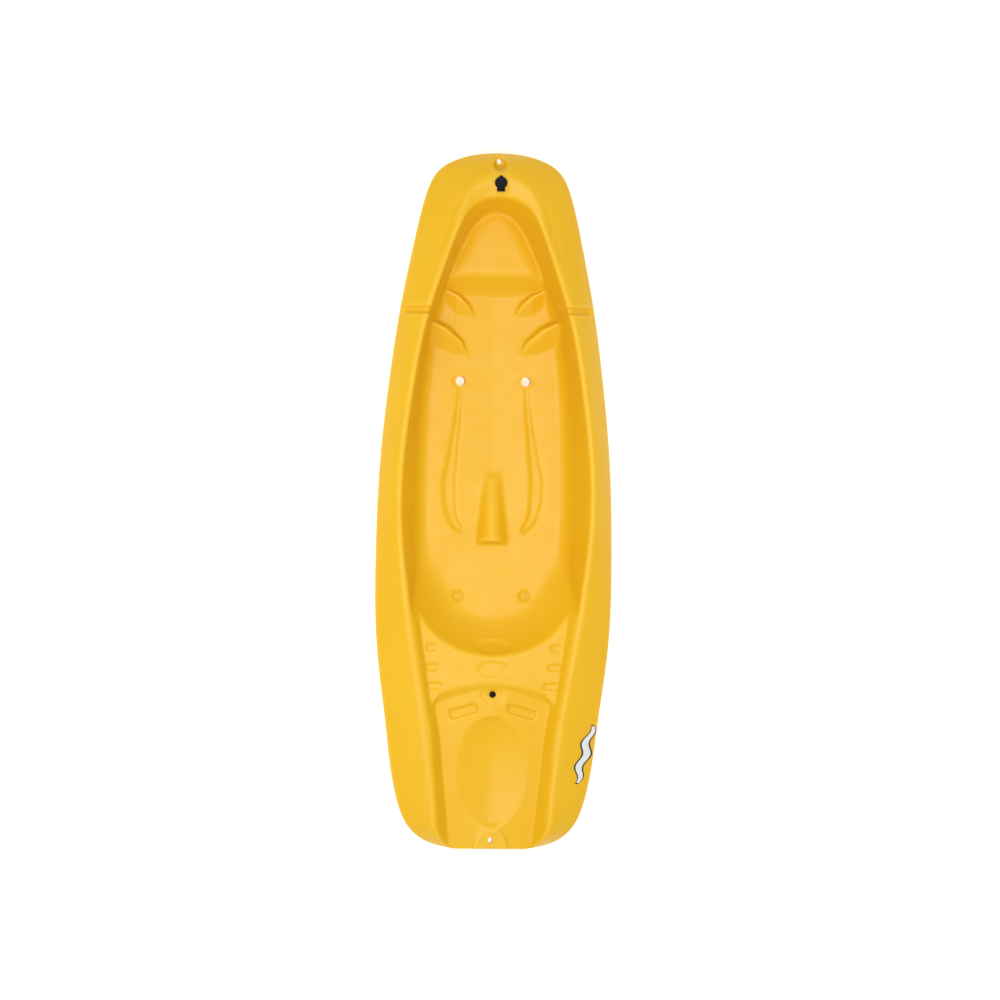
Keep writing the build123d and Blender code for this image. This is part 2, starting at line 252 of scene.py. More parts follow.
def shelf(x, y):
    """A flat pad with a rounded edge, sloping away to the walls and down to the floor."""
    pad = inside_by(x, y, plan_loop(SHELF_TOP))
    side = SHELF_Z + 0.36 * pad
    front = SHELF_Z + 0.95 * (y - SHELF_FRONT)
    return soft_min(soft_min(side, np.full(len(x), SHELF_Z), 5), front, 6)


BRACES = (([(160, 580), (141, 572), (92, 548), (68, 522), (55, 492)],
           [(55, 489), (108, 492), (138, 520), (260, 532)]),
          ([(186, 494), (163, 486), (120, 461), (83, 424), (71, 391)],
           [(71, 388), (112, 388), (152, 400), (260, 412)]))


def foot_brace(x, y, crest, foot):
    """Leaf-shaped ridge: a ramp that climbs from its foot line, a steep face at its crest."""
    tip = crest[-1]
    ahead = foot + [(260, 760), (-60, 760), (-60, foot[0][1])]
    behind = crest + [(tip[0] - 3, tip[1] - 120), (300, tip[1] - 120), (300, crest[0][1] + 20)]
    ramp = 59 + 0.62 * inside_by(x, y, np.array(ahead, float))
    face = 60 + 3.0 * inside_by(x, y, np.array(behind, float))
    spine = 66 + 0.30 * np.hypot(x - tip[0], y - tip[1])
    return soft_min(soft_min(ramp, spine, 6), face, 4)


def pommel(x, y):
    """Ridge that grows wider and taller towards its steep stern end."""
    run = np.clip((70 - y) / 170, 0, 1)
    half = 24 + 20 * run
    height = 8 + 28 * run
    side = np.clip(1 - (np.abs(x) / half) ** 1.7, -1, 1)
    foot = 54
    z = foot + height * side
    z = soft_min(z, foot + height * np.clip((78 - y) / 20, -1, 1), 3)
    return soft_min(z, foot + height * np.clip((y + 112) / 9, -1, 1), 3)


# %% [markdown]
# ## Pressed-in features
#
# Drain grooves, finger recesses, ovals, the dish in the well and the short side marks are all
# shallow presses. Each one is a depth multiplied by a soft-edged mask.

# %% Masks for shallow presses
def oval_mask(x, y, cx, cy, rx, ry, edge):
    """1 inside an oval, 0 outside, ramped over the edge width."""
    r = np.hypot((x - cx) / rx, (y - cy) / ry)
    return 1 - soft_step((r - 1) * min(rx, ry), -edge, 0)


def bar_mask(x, y, cx, cy, half_x, half_y, radius, turn, edge):
    """The same for a rounded rectangle turned about its centre."""
    c, s = math.cos(math.radians(turn)), math.sin(math.radians(turn))
    u, v = (x - cx) * c + (y - cy) * s, -(x - cx) * s + (y - cy) * c
    qx, qy = np.abs(u) - half_x + radius, np.abs(v) - half_y + radius
    gap = np.hypot(np.maximum(qx, 0), np.maximum(qy, 0)) + np.minimum(np.maximum(qx, qy), 0)
    return 1 - soft_step(gap - radius, -edge, 0)


def groove_mask(x, y, path, edge):
    """The same for a channel that follows a path of (x, y, half-width)."""
    line = np.array(path, float)
    best = np.full(len(x), 1e9)
    for a, b in zip(line, line[1:]):
        d = b[:2] - a[:2]
        t = np.clip(((x - a[0]) * d[0] + (y - a[1]) * d[1]) / (d @ d), 0, 1)
        gap = np.hypot(x - a[0] - t * d[0], y - a[1] - t * d[1]) - (a[2] + t * (b[2] - a[2]))
        best = np.minimum(best, gap)
    return 1 - soft_step(best, -edge, 0)


DRAIN_GROOVE = [(86, -74, 11), (98, -60, 14), (108, -38, 16), (115, 0, 19), (117, 54, 19),
                (109, 105, 16), (102, 158, 13), (95, 210, 10.5), (90, 263, 7.5), (88, 298, 6)]


SIDE_MARKS = ((149, -386), (143, -437), (131, -487))
GUNWALE_LINE = [(211, -583, 3), (184, -815, 3)]
REST_Y = 501


def presses(x, y):
    """Total depth of every shallow press at each spot."""
    deep = 7.0 * groove_mask(x, y, DRAIN_GROOVE, 8)
    # two dimples in the seat, each with a raised middle
    deep = deep + 8 * oval_mask(x, y, 88, -250, 16, 16, 6)
    deep = deep - 8.5 * oval_mask(x, y, 88, -250, 8.5, 8.5, 7)
    # the oval on the flat and the one on the seat back
    deep = deep + 2.0 * oval_mask(x, y, 0, -442, 46, 23, 5)
    deep = deep + 4.5 * oval_mask(x, y, 0, -384, 55, 20, 5)
    # finger recesses in the well, then the short marks beside the flat
    deep = deep + 7.0 * bar_mask(x, y, 76.5, -553, 39, 14.5, 8, -16, 4.5)
    on_flat = 1 - soft_step(x, 172, 181)
    for inner, at in SIDE_MARKS:
        deep = deep + 3.4 * on_flat * bar_mask(x, y, inner + 40, at, 40, 11.5, 11, 0, 4)
    # half ring round the vent, a fine line on the gunwale, the paddle rest across it
    deep = deep + 2.6 * oval_mask(x, y, 0, -504, 34, 36, 5) * soft_step(-y, 488, 500)
    deep = deep + 1.2 * groove_mask(x, y, GUNWALE_LINE, 4)
    rest = soft_step(x, 156, 164) * (1 - soft_step(x, 236, 250))
    return deep + 13.0 * rest * (1 - soft_step(np.abs(y - REST_Y), 5.5, 12.5))


def dish(x, y):
    """Long oval hollow with a crisp edge: two flat sides that meet in a shallow V."""
    middle, half_width, half_length = -712, 88, 146
    half = half_width * np.sqrt(np.clip(1 - ((y - middle) / half_length) ** 2, 0, 1))
    across = np.sqrt(x ** 2 + 100) - 6
    return soft_max(0.26 * (half - across), np.zeros(len(x)), 0.7)


# %% [markdown]
# ## Putting the height map together
#
# The features are now joined in the order in which a mould-maker would sink and raise them:
# the pan of the cockpit with its braces, the gunwale round it, the stern cut in behind, then
# the shallow presses, and last the flat seats that the fittings and the holes need. Each join
# has its own radius, because a deep corner of formed sheet is always rounder than a shallow one.

# %% The whole upper surface
SCUPPER = (87.0, 317.0)
BOW_TOW, STERN_TOW = 894.0, -892.0
DRAIN_Y, VENT_Y = 835.0, -508.0
BOW_TOW_SEAT, STERN_TOP = 170, 126.0
DRAIN_SEAT, VENT_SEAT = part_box("drain_gasket")[0].z / MM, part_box("vent_seal")[0].z / MM


def deck_height(x, y):
    """Height of the upper sheet's outer face, in mm, over the plan point (x, y), x >= 0."""
    pan = soft_max(cockpit(x, y), shelf(x, y), 11)
    for crest, foot in BRACES:
        pan = soft_max(pan, foot_brace(x, y, crest, foot), 5)
    pan = soft_max(pan, pommel(x, y), 5)
    z = soft_min(soft_min(gunwale(x, y), pan, 9), stern(x, y), 9)
    boss = STERN_TOP - 1.4 * np.maximum(np.hypot(x, y + 905) - 41, 0)
    z = z - presses(x, y) - dish(x, y)
    z = np.where(y < -800, soft_max(z, boss, 4), z)
    mouth = 57 + 2.4 * np.maximum(np.hypot(x - SCUPPER[0], y - SCUPPER[1]) - 18, 0)
    z = soft_min(z, mouth, 3)
    tow = BOW_TOW_SEAT + 1.9 * np.maximum(np.hypot(x, np.maximum(np.abs(y - 892) - 2, 0)) - 10, 0)
    z = np.where(y > 840, soft_min(z, tow, 5), z)
    seat = soft_step(np.hypot(x, y - DRAIN_Y), 17, 30)
    z = np.where(y > 780, z * seat + DRAIN_SEAT * (1 - seat), z)
    vent = soft_step(np.hypot(x, y - VENT_Y), 9, 15)
    return z * vent + VENT_SEAT * (1 - vent)


# %% [markdown]
# ## A grid that follows the boat
#
# A square grid bent into the outline (a Coons patch) has no pinched rows at the blunt ends.
# Its columns are then slid sideways so that whole edge lines run along the crest, the rim and
# the foot of the wall: a crease between two rows of faces shades cleanly, while one that cuts
# across faces looks like a staircase.

# %% Half of the plan as a bent grid
def split_outline(corner_stern, corner_bow):
    """Right-hand outline cut at two corners: stern end, side, bow end."""
    half = outline_loop[:np.argmax(outline_loop[:, 1]) + 1]
    half = np.vstack([[0.0, half[0, 1]], half])
    i = np.argmin(np.hypot(*(half - corner_stern).T))
    j = np.argmin(np.hypot(*(half - corner_bow).T))
    return half[:i + 1], half[i:j + 1], half[j:][::-1]


def even(line, n):
    """n + 1 points spaced evenly along a line."""
    t = np.concatenate(([0.0], np.cumsum(np.linalg.norm(np.diff(line, axis=0), axis=1))))
    s = np.linspace(0, t[-1], n + 1)
    return np.column_stack([np.interp(s, t, line[:, 0]), np.interp(s, t, line[:, 1])])


def row_places(rows, dense=((-640, -360), (370, 610))):
    """Fractions along the boat, closer together where the small features are."""
    y = np.linspace(-HALF_LENGTH, HALF_LENGTH, 2001)
    weight = np.ones(len(y))
    for low, high in dense:
        weight += 0.7 * soft_step(y, low - 30, low + 30) * (1 - soft_step(y, high - 30, high + 30))
    total = np.concatenate(([0.0], np.cumsum(weight[1:])))
    return np.interp(np.linspace(0, total[-1], rows + 1), total, np.linspace(0, 1, len(y)))


def coons(f, rows, ends):
    """Plan points at fractions f (rows x columns) of the way from the keel line to the side."""
    tail, side, nose = ends
    v = row_places(rows)[:, None]
    fine_side = even(side, 2000)
    s = np.column_stack([np.interp(v[:, 0], np.linspace(0, 1, 2001), fine_side[:, k])
                         for k in (0, 1)])
    keel = np.column_stack([np.zeros(rows + 1),
                            tail[0, 1] + v[:, 0] * (nose[0, 1] - tail[0, 1])])
    fine = np.linspace(0, 1, 400)
    lo, hi = even(tail, 399), even(nose, 399)
    out = []
    for k in (0, 1):
        low = np.interp(f, fine, lo[:, k])
        high = np.interp(f, fine, hi[:, k])
        ruled = (1 - f) * keel[:, k:k + 1] + f * s[:, k:k + 1] + (1 - v) * low + v * high
        corner = ((1 - f) * (1 - v) * lo[0, k] + f * (1 - v) * lo[-1, k]
                  + (1 - f) * v * hi[0, k] + f * v * hi[-1, k])
        out.append(ruled - corner)
    return out


def column_fractions(rows, ends, lines, counts, least):
    """For every row, fractions that put whole columns on the given plan lines."""
    probe = np.tile(np.linspace(0, 1, 500), (rows + 1, 1))
    px, py = coons(probe, rows, ends)
    knots = [np.zeros(rows + 1)]
    for line, low in zip(lines, least):
        half = natural_curve(line)
        half = half[np.argsort(half[:, 1])]
        width = np.interp(py, half[:, 1], half[:, 0])
        at = (px < width).sum(1) / 500.0
        at = np.maximum(at, low)
        wide = np.concatenate([np.full(8, at[0]), at, np.full(8, at[-1])])
        smooth = np.convolve(wide, np.ones(9) / 9, "same")[8:-8]
        knots.append(np.maximum(smooth, knots[-1] + 0.02))
    knots.append(np.ones(rows + 1))
    cols = [knots[0][:, None]]
    for a, b, n in zip(knots, knots[1:], counts):
        cols.append(a[:, None] + (b - a)[:, None] * np.arange(1, n + 1) / n)
    return np.hstack(cols)


FOOT_LINE = [(112, -915), (114, -862), (127, -700), (139, -560), (152, -470), (166, -380),
             (172, -250), (177, -150), (180, -40), (180, 100), (175, 272), (166, 391),
             (151, 478), (112, 600), (75, 690), (60, 780), (60, 915)]
WALL_LINE = [(122, -915), (124, -862), (137, -700), (150, -560), (164, -470), (180, -380),
             (195, -250), (203, -150), (213, -40), (212, 100), (204, 272), (190, 391),
             (172, 478), (128, 600), (90, 700), (75, 780), (74, 915)]
RIM_LINE = [(140, -915), (144, -860), (162, -683), (178, -554), (197, -446), (234, -200),
            (248, -40), (240, 154), (225, 272), (187, 480), (145, 615), (105, 723),
            (84, 800), (84, 915)]
CREST_LINE = [(148, -915), (155, -845), (161, -815), (176, -683), (192, -554), (211, -446),
              (249, -193), (261, -20), (253, 154), (238, 272), (200, 480), (158, 615),
              (118, 723), (98, 800), (98, 915)]


def half_patch(rows, counts, lines, least):
    """A bmesh grid whose vertices lie on half of the plan; heights are still zero."""
    ends = split_outline(np.array([196.0, -880.0]), np.array([146.0, 877.0]))
    f = column_fractions(rows, ends, lines, counts, least)
    px, py = coons(f, rows, ends)
    bm = bmesh.new()
    bmesh.ops.create_grid(bm, x_segments=f.shape[1] - 1, y_segments=rows, size=0.5)
    bm.verts.ensure_lookup_table()
    col = np.array([round((v.co.x + 0.5) * (f.shape[1] - 1)) for v in bm.verts])
    row = np.array([round((v.co.y + 0.5) * rows) for v in bm.verts])
    return bm, px[row, col], py[row, col]


def place(bm, x, y, z):
    """Moves the vertices to their places, given in mm."""
    for v, a, b, c in zip(bm.verts, x, y, z):
        v.co = a * MM, b * MM, c * MM


deck_bm, gx, gy = half_patch(370, (30, 4, 9, 4, 13),
                             (FOOT_LINE, WALL_LINE, RIM_LINE, CREST_LINE),
                             (0.30, 0.36, 0.42, 0.48))
gz = deck_height(gx, gy)
place(deck_bm, gx, gy, gz)
print("half deck:", len(deck_bm.verts), "vertices, heights", gz.min().round(1), gz.max().round(1))

# %% [markdown]
# ## From half a grid to a closed sheet
#
# The starboard half is mirrored, so both sides are exactly alike and only one is worked out.
# Along the outside the sheet turns down over the hull in a narrow band. Extruding the border
# edges makes it, which keeps the band's faces in line with the rows of the sheet.

# %% Mirror, edge band and thickness
def edge_chain(bm):
    """Boundary edges that lie off the keel line."""
    return [e for e in bm.edges if e.is_boundary and max(v.co.x for v in e.verts) > 1e-5]


def drop_edge(bm, heights):
    """Extrudes the outer edge down through a list of (height function, shift outward in mm)."""
    for height, shift in heights:
        grown = bmesh.ops.extrude_edge_only(bm, edges=edge_chain(bm))
        for v in (g for g in grown["geom"] if isinstance(g, bmesh.types.BMVert)):
            n = Vector((v.co.x, v.co.y * 0.25, 0)).normalized()
            v.co = v.co + n * shift * MM
            v.co.z = height(v.co.y / MM) * MM


def mirrored(bm, faces_up):
    """Adds the port half, closes the seam on the keel line and points the faces outwards."""
    for v in bm.verts:
        if abs(v.co.x) < 1e-5:
            v.co.x = 0.0
    bmesh.ops.mirror(bm, geom=bm.verts[:] + bm.edges[:] + bm.faces[:], axis="X",
                     merge_dist=1e-5)
    bmesh.ops.remove_doubles(bm, verts=bm.verts[:], dist=1e-6)
    bmesh.ops.recalc_face_normals(bm, faces=bm.faces[:])
    bm.normal_update()
    if (sum(f.normal.z * f.calc_area() for f in bm.faces) > 0) != faces_up:
        bmesh.ops.reverse_faces(bm, faces=bm.faces[:])


def finished(bm, name):
    """Turns a bmesh into an object with smooth shading."""
    mesh = bpy.data.meshes.new(name)
    bm.to_mesh(mesh)
    bm.free()
    piece = bpy.data.objects.new(name, mesh)
    scene.collection.objects.link(piece)
    for poly in mesh.polygons:
        poly.use_smooth = True
    return piece


drop_edge(deck_bm, [(lambda y: 134.5 + 0.022 * y, 0.6), (lambda y: 129.2 + 0.022 * y, 0.2)])
mirrored(deck_bm, faces_up=True)
deck = finished(deck_bm, "deck_sheet")
print("deck sheet:", len(deck.data.polygons), "faces before it gets its thickness")

# %% [markdown]
# ## Thickness and holes
#
# The real sheet is about 3.5 mm of polyethylene. Solidify grows that thickness inwards, so the
# outer face stays where the height map put it. The holes are bored afterwards, as on the real
# boat, with upright cutters: a Boolean is the honest tool for a drilled hole, and it is applied
# at once so that the finished piece is a plain closed mesh.

# %% Wall thickness and bored holes
def drills(name, holes):
    """One object of upright cylinders, given as (x, y, radius) in mm."""
    bm = bmesh.new()
    for x, y, r in holes:
        bmesh.ops.create_cone(bm, cap_ends=True, segments=48, radius1=r * MM, radius2=r * MM,
                              depth=0.5, matrix=Matrix.Translation((x * MM, y * MM, 0.13)))
    return finished(bm, name)


def bored(sheet, thickness, holes):
    """Gives a sheet its thickness, bores it, and keeps the result as plain mesh."""
    wall = sheet.modifiers.new("wall", "SOLIDIFY")
    wall.thickness, wall.offset = thickness * MM, -1
    cutter = drills(sheet.name + "_drills", holes)
    cut = sheet.modifiers.new("holes", "BOOLEAN")
    cut.operation, cut.object, cut.solver = "DIFFERENCE", cutter, "MANIFOLD"
    solid = bpy.data.meshes.new_from_object(sheet.evaluated_get(
        bpy.context.evaluated_depsgraph_get()))
    sheet.modifiers.clear()
    sheet.data = solid
    bpy.data.objects.remove(cutter)
    solid.materials.clear()
    for poly in solid.polygons:
        poly.use_smooth, poly.material_index = True, 0
    print(sheet.name, "is closed with", len(solid.polygons), "faces")


SHEET = 3.5
TOW_BORE, SCUPPER_BORE, SLEEVE_WALL = 7.0, 13.0, 3.0
DRAIN_DRILL, VENT_DRILL = 10.7, 3.3
TOW_HOLES = [(0, y, TOW_BORE + 2) for y in (BOW_TOW, STERN_TOW)]
SCUPPER_HOLES = [(side * SCUPPER[0], SCUPPER[1], SCUPPER_BORE + 2) for side in (-1, 1)]
bored(deck, SHEET, TOW_HOLES + SCUPPER_HOLES
      + [(0, DRAIN_Y, DRAIN_DRILL), (0, VENT_Y, VENT_DRILL)])
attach(deck, "boat")
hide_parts("deck_shell")

# %% [markdown]
# ## The hull
#
# The lower sheet is made the same way, upside down: four nested lines (flat of the keels,
# chine, bilge and the outer edge) carry rising heights, and two long arched tunnels leave three
# keels. Smoothing the vertices a few times rounds the chines as heat and vacuum do.

# %% Hull sheet
CHINE_Z, BILGE_Z, TUNNEL_TOP, TUNNEL_RADIUS = 24, 78, 14, 125
ROUNDING_PASSES = 3


def hull_height(x, y):
    """Height of the hull's outer face, in mm."""
    keel = -inside_by(x, y, plan_loop(KEEL_FLAT))
    chine = inside_by(x, y, plan_loop(CHINE))
    bilge = inside_by(x, y, plan_loop(BILGE))
    edge = inside_by(x, y, outline_loop)
    low = CHINE_Z * np.clip(keel / np.maximum(keel + chine, 1e-6), 0, 1)
    mid = CHINE_Z + (BILGE_Z - CHINE_Z) * np.clip(
        -chine / np.maximum(bilge - chine, 1e-6), 0, 1)
    top = BILGE_Z + (50 + 0.022 * y) * np.clip(-bilge / np.maximum(edge - bilge, 1e-6), 0, 1)
    z = np.where(keel < 0, 0, np.where(chine > 0, low, np.where(bilge > 0, mid, top)))
    arch = TUNNEL_TOP - TUNNEL_RADIUS + np.sqrt(
        np.maximum(TUNNEL_RADIUS ** 2 - (np.abs(x) - SCUPPER[0]) ** 2, 0))
    return soft_max(z, np.where(np.abs(np.abs(x) - SCUPPER[0]) < 110, arch, -50), 3)


def grown_line(points):
    """A plan line carried straight to both ends of the boat, for the grid's columns."""
    widest = max(x for x, y in points)
    inner = [(x, y) for x, y in points if x > 0.3 * widest]
    return [(inner[0][0], -HALF_LENGTH)] + inner + [(inner[-1][0], HALF_LENGTH)]


hull_bm, hx, hy = half_patch(250, (22, 6, 8, 9), (grown_line(KEEL_FLAT), grown_line(CHINE),
                                                  grown_line(BILGE)), (0.40, 0.52, 0.70))
hz = hull_height(hx, hy)
place(hull_bm, hx, hy, hz)
inner = [v for v in hull_bm.verts if not v.is_boundary]
for _ in range(ROUNDING_PASSES):
    bmesh.ops.smooth_vert(hull_bm, verts=inner, factor=0.5, use_axis_z=True)
mirrored(hull_bm, faces_up=False)
hull = finished(hull_bm, "hull_sheet")
bored(hull, SHEET, [(x, y, r + 1) for x, y, r in TOW_HOLES + SCUPPER_HOLES])
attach(hull, "boat")
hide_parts("hull_shell")

# %% [markdown]
# ## Sleeves in the through-holes
#
# Where water or a tow rope passes through, the two sheets are joined by a moulded tube with
# rounded lips. A tube is a lathe shape: draw one side of its wall as a closed outline and spin
# it round the hole's axis, which gives an even wall and lips with no seams to tidy.

# %% Lathe helper and the four sleeves
def hull_at(x, y):
    """Height of the hull's outer face at one spot, in mm."""
    return float(hull_height(np.array([x]), np.array([y]))[0])


def lathe(bm, outline, x=0.0, y=0.0, steps=48, closed=True):
    """Spins an outline of (radius, height) points, in mm, round an upright axis."""
    verts = [bm.verts.new(((x + r) * MM, y * MM, z * MM)) for r, z in outline]
    pairs = list(zip(verts, verts[1:])) + ([(verts[-1], verts[0])] if closed else [])
    edges = [bm.edges.new(pair) for pair in pairs]
    bmesh.ops.spin(bm, geom=verts + edges, cent=(x * MM, y * MM, 0), axis=(0, 0, 1),
                   angle=2 * math.pi, steps=steps, use_merge=True)
    bmesh.ops.remove_doubles(bm, verts=bm.verts[:], dist=2e-6)


def tube(bm, x, y, bore, high, lip):
    """A sleeve from the hull up to a height: bore radius, height of its top, lip width."""
    out, low = bore + SLEEVE_WALL, hull_at(x, y) + 0.5
    old = set(bm.verts)
    lathe(bm, [(bore, low + 2), (bore, high - 2.2), (bore + 0.5, high - 0.8),
               (bore + 1.7, high + 0.2), (out + lip, high), (out + lip, high - 1.6),
               (out, high - 1.9), (out, low + 1.6), (out + lip, low + 1.2), (out + lip, low),
               (bore + 1.7, low - 0.2), (bore + 0.5, low + 0.8)], x, y)
    for v in (v for v in bm.verts if v not in old and v.co.z < (low + 3) * MM):
        v.co.z += (hull_at(v.co.x / MM, v.co.y / MM) - hull_at(x, y)) * MM


def as_piece(bm, name, body, slot, *replaced):
    """Closes up a bmesh, makes it a piece, hangs it on its body and hides the parts it replaces.
    """
    bmesh.ops.recalc_face_normals(bm, faces=bm.faces[:])
    piece = finished(bm, name)
    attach(piece, body)
    if replaced:
        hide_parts(*replaced)
    print(name, "has", len(piece.data.polygons), "faces")
    return piece


scupper_bm = bmesh.new()
for side in (-1, 1):
    tube(scupper_bm, side * SCUPPER[0], SCUPPER[1], SCUPPER_BORE, 57.4, 1.6)
scupper_sleeves = as_piece(scupper_bm, "scupper_sleeves", "boat", "deck_plastic")
tow_bm = bmesh.new()
tube(tow_bm, 0, BOW_TOW, TOW_BORE, BOW_TOW_SEAT + 0.4, 1.2)
tube(tow_bm, 0, STERN_TOW, TOW_BORE, STERN_TOP + 0.3, 1.2)
tow_sleeves = as_piece(tow_bm, "tow_sleeves", "boat", "deck_plastic")

# %% [markdown]
# ## The drain
#
# A black bushing snaps into the bow deck and a hinged lid closes it. The bushing is a lathe
# shape with two ears for the hinge pin; the lid is another lathe shape with an arm, a barrel
# and a finger lip. Boxes and bars get small bevels, because no moulded edge is truly sharp.

# %% Box and bar helpers
def block(bm, size, at, bevel=0.5):
    """Bevelled box, in mm."""
    made = bmesh.ops.create_cube(bm, size=1.0, matrix=Matrix.Translation(Vector(at) * MM)
                                 @ Matrix.Diagonal([v * MM for v in size] + [1]))
    edges = list({e for v in made["verts"] for e in v.link_edges})
    bmesh.ops.bevel(bm, geom=edges, offset=bevel * MM, segments=2, affect="EDGES",
                    profile=0.5, material=-1)


def bar(bm, radius, length, at, bevel=0.3):
    """Round bar across the boat with softened rims, in mm."""
    made = bmesh.ops.create_cone(bm, cap_ends=True, segments=32, radius1=radius * MM,
                                 radius2=radius * MM, depth=length * MM,
                                 matrix=Matrix.Translation(Vector(at) * MM)
                                 @ Matrix.Rotation(math.radians(90), 4, "Y"))
    rims = [e for e in {e for v in made["verts"] for e in v.link_edges}
            if any(len(f.verts) > 4 for f in e.link_faces)]
    bmesh.ops.bevel(bm, geom=rims, offset=bevel * MM, segments=2, affect="EDGES",
                    profile=0.5, material=-1)


HINGE_Y, HINGE_Z = 815.5, DRAIN_SEAT + 5.5
FLANGE_Z = DRAIN_SEAT + 1.0
print("drain seat at", round(DRAIN_SEAT, 2), "mm, hinge at", HINGE_Z)

# %% Bushing with its ears
bushing_bm = bmesh.new()
lathe(bushing_bm, [(7.5, DRAIN_SEAT - 15), (7.5, FLANGE_Z + 1.6), (8.1, FLANGE_Z + 2.2),
                   (14.6, FLANGE_Z + 2.2), (15.8, FLANGE_Z + 1.6), (16.2, FLANGE_Z + 0.7),
                   (16.0, FLANGE_Z), (10.5, FLANGE_Z), (10.5, DRAIN_SEAT - SHEET - 0.3),
                   (11.7, DRAIN_SEAT - SHEET - 0.6), (10.4, DRAIN_SEAT - SHEET - 3.4),
                   (10.1, DRAIN_SEAT - 15)], 0, DRAIN_Y, 64)
block(bushing_bm, (21, 17, 1.6), (0, 820.5, FLANGE_Z + 0.8))
for side in (-1, 1):
    ear_x = side * 7.8
    block(bushing_bm, (4.6, 5.0, HINGE_Z - FLANGE_Z), (ear_x, HINGE_Y, (FLANGE_Z + HINGE_Z) / 2))
    bar(bushing_bm, 2.5, 4.6, (ear_x, HINGE_Y, HINGE_Z))
bushing = as_piece(bushing_bm, "drain_bushing_body", "boat", "black_plastic", "drain_bushing")

# %% Lid with its arm, barrel and finger lip
LID_Z = FLANGE_Z + 2.4
lid_bm = bmesh.new()
lathe(lid_bm, [(0, LID_Z), (14.9, LID_Z), (15.9, LID_Z + 0.4), (16.3, LID_Z + 1.2),
               (15.9, LID_Z + 2.1), (14.8, LID_Z + 2.7), (13.2, LID_Z + 2.8),
               (12.4, LID_Z + 2.3), (11.6, LID_Z + 2.1), (4.0, LID_Z + 2.2), (0, LID_Z + 2.2)],
      0, DRAIN_Y, 64, closed=False)
GRIP_RIBS, LID_RADIUS = 24, 15.9
for k in range(GRIP_RIBS):
    angle = 2 * math.pi * k / GRIP_RIBS
    if abs(math.cos(angle)) < 0.35:
        continue
    block(lid_bm, (1.1, 1.1, 1.7), (LID_RADIUS * math.cos(angle),
                                    DRAIN_Y + LID_RADIUS * math.sin(angle), LID_Z + 1.35), 0.25)
block(lid_bm, (9, 9, 2.4), (0, 819.2, LID_Z + 1.4), 0.6)
bar(lid_bm, 2.6, 9.4, (0, HINGE_Y, HINGE_Z))
block(lid_bm, (9, 4.2, 1.6), (0, DRAIN_Y + 16.8, LID_Z + 1.0), 0.6)
lid = as_piece(lid_bm, "drain_lid", "cap", "black_plastic", "drain_cap")

# %% [markdown]
# ## The vent plug
#
# A domed button pressed into the stern flat lets warm air out of the hull. It is one lathe
# shape: dome, rounded rim, stem and the barb that holds it behind the sheet.

# %% Vent plug
VENT_TOP = VENT_SEAT + 0.8
vent_bm = bmesh.new()
lathe(vent_bm, [(0, VENT_TOP + 4.2), (2.0, VENT_TOP + 4.1), (4.2, VENT_TOP + 3.6),
                (6.2, VENT_TOP + 2.7), (7.8, VENT_TOP + 1.5), (8.5, VENT_TOP + 0.8),
                (8.5, VENT_TOP + 0.2), (8.1, VENT_TOP), (3.0, VENT_TOP),
                (3.0, VENT_SEAT - 3.7), (4.1, VENT_SEAT - 4.0), (2.6, VENT_SEAT - 6.8),
                (2.2, VENT_SEAT - 12), (0, VENT_SEAT - 12.4)], 0, VENT_Y, 48, closed=False)
vent = as_piece(vent_bm, "vent_button", "boat", "black_plastic", "vent_plug")

# %% [markdown]
# ## Foam under the shelf
#
# A block of bead foam is glued under the bow shelf so that a swamped boat still floats. It is
# cut from sheet foam with a hot wire, so it has straight sides, slightly melted edges and a
# taper that follows the bow. A bevelled box pulled narrower towards the bow is exactly that.

# %% Bow foam block
bow_foam_bm = bmesh.new()
block(bow_foam_bm, (120, 100, 44), (0, 670, 73), 6)
for v in bow_foam_bm.verts:
    v.co.x *= 1 - 0.45 * float(soft_step(v.co.y / MM, 630, 730))
bow_foam = as_piece(bow_foam_bm, "bow_foam", "boat", "foam", "bow_foam_block")

# %% [markdown]
# ## A plain sticker
#
# The starboard quarter carries a small sticker. Here it is a plain wave with a dark border,
# with no words. A narrow grid is bent along a wavy line and laid on the sheet's own height
# map, so it follows every curve of the slope and can't sink into it.

# %% Wave sticker
STICKER_ROWS, STICKER_COLS = 96, 12


def wave_point(u, v):
    """Plan point on the sticker: u along it from 0 to 1, v across it from -1 to 1."""
    y = -742 + 156 * u
    x = 224 + 42 * u + 6.5 * math.sin(u * 2.5 * 2 * math.pi)
    return x + v * (3.0 + 12.0 * math.sin(math.pi * u) ** 0.6), y


sticker_bm = bmesh.new()
bmesh.ops.create_grid(sticker_bm, x_segments=STICKER_COLS, y_segments=STICKER_ROWS, size=0.5)
spots = [wave_point(v.co.y + 0.5, v.co.x * 2) for v in sticker_bm.verts]
across = [(v.co.x * 2, v.co.y + 0.5) for v in sticker_bm.verts]
sx, sy = np.array(spots).T
place(sticker_bm, sx, sy, deck_height(sx, sy) + 0.45)
for face in sticker_bm.faces:
    edge = max(abs(across[v.index][0]) for v in face.verts)
    ends = [across[v.index][1] for v in face.verts]
    face.material_index = int(edge > 0.72 or min(ends) < 0.02 or max(ends) > 0.98)
bmesh.ops.solidify(sticker_bm, geom=sticker_bm.faces[:], thickness=0.15 * MM)
sticker = as_piece(sticker_bm, "wave_sticker", "boat", "decal_vinyl", "side_decal")
